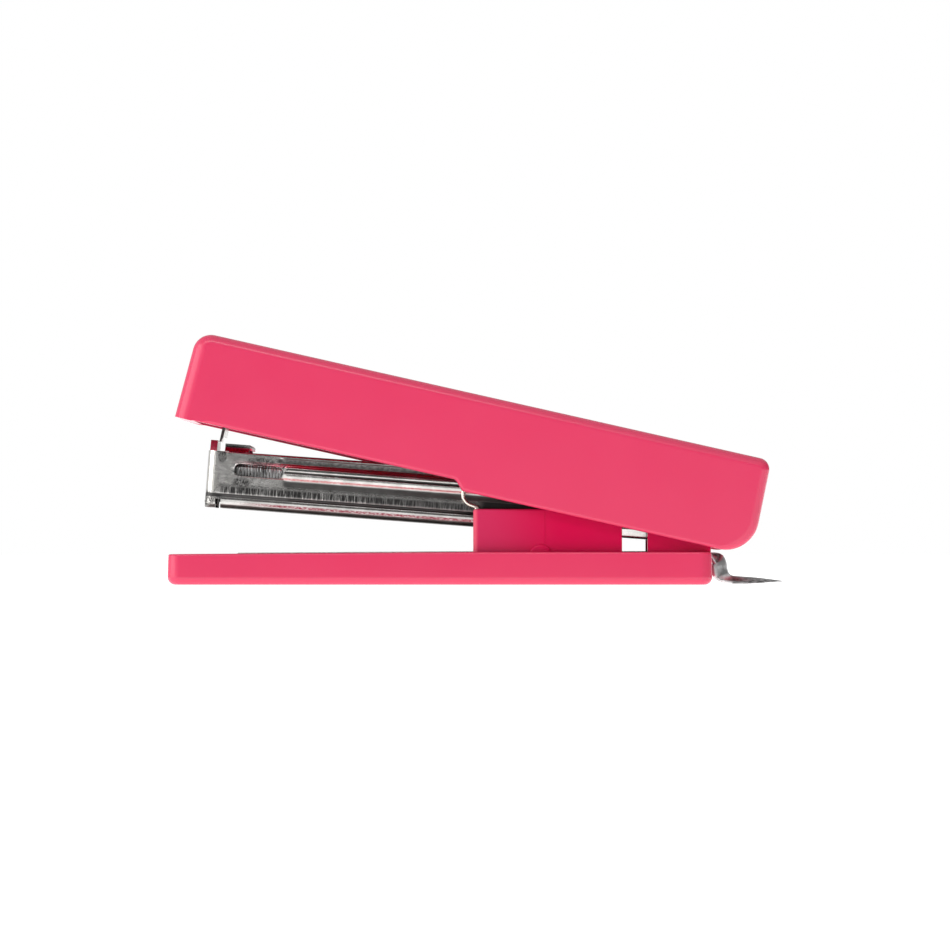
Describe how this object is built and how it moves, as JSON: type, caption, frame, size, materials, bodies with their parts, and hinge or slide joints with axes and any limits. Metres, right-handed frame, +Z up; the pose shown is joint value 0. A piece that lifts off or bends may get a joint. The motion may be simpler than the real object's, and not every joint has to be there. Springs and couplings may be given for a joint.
{
  "type": "stapler",
  "caption": "Pocket desk stapler with a hinged cover, a steel staple magazine, a flat base with an anvil and a rear staple-removing claw.",
  "frame": {"origin": "centre of the whole stapler's footprint, on the surface it stands on", "axes": "+X towards the pivot pin and the staple remover, -X towards the stapling end, +Y across the stapler, +Z up"},
  "size_m": [0.1022, 0.023, 0.0411],
  "materials": {
    "pink_plastic": "glossy moulded",
    "deep_pink_plastic": "glossy moulded",
    "nickel_plate": "bright nickel plate",
    "steel": "brushed",
    "spring_steel": "drawn wire",
    "dark_steel": "oiled"
  },
  "bodies": {
    "base": {"base_tray": "pink_plastic", "pivot_saddle": "deep_pink_plastic", "base_plate": "nickel_plate", "anvil": "nickel_plate", "anvil_rivet_near": "steel", "anvil_rivet_far": "steel", "pivot_pin": "steel", "lift_spring": "spring_steel", "lift_spring_rivet": "steel", "staple_remover": "nickel_plate", "remover_rivet": "steel"},
    "magazine": {"magazine_channel": "nickel_plate", "staple_rail": "steel", "staple_strip": "nickel_plate", "staple_hold_down": "nickel_plate", "spring_rod": "steel", "pusher_spring": "spring_steel"},
    "pusher": {"pusher": "dark_steel"},
    "handle": {"handle_cover": "pink_plastic", "handle_frame": "nickel_plate", "driver_blade": "nickel_plate", "driver_rivet_front": "steel", "driver_rivet_rear": "steel", "return_spring": "spring_steel"}
  },
  "joints": [
    {"name": "magazine_hinge", "type": "hinge", "parent": "base", "child": "magazine", "pos_m": [0.04077, 0, 0.01127], "axis": [0, 1, 0], "range_deg": [-4.8, 0], "stiffness_Nm_per_rad": 0.3, "springref_deg": 5.73, "deforming": ["lift_spring"]},
    {"name": "handle_hinge", "type": "hinge", "parent": "magazine", "child": "handle", "pos_m": [0.04077, 0, 0.01127], "axis": [0, 1, 0], "range_deg": [-7.3, 75], "stiffness_Nm_per_rad": 0.3, "springref_deg": 1.15, "deforming": ["return_spring"]},
    {"name": "pusher_slide", "type": "slide", "parent": "magazine", "child": "pusher", "axis": [0.9973, 0, -0.0741], "range_m": [0, 0.022], "stiffness_N_per_m": 60, "springref_m": -0.03, "deforming": ["pusher_spring"]}
  ]
}
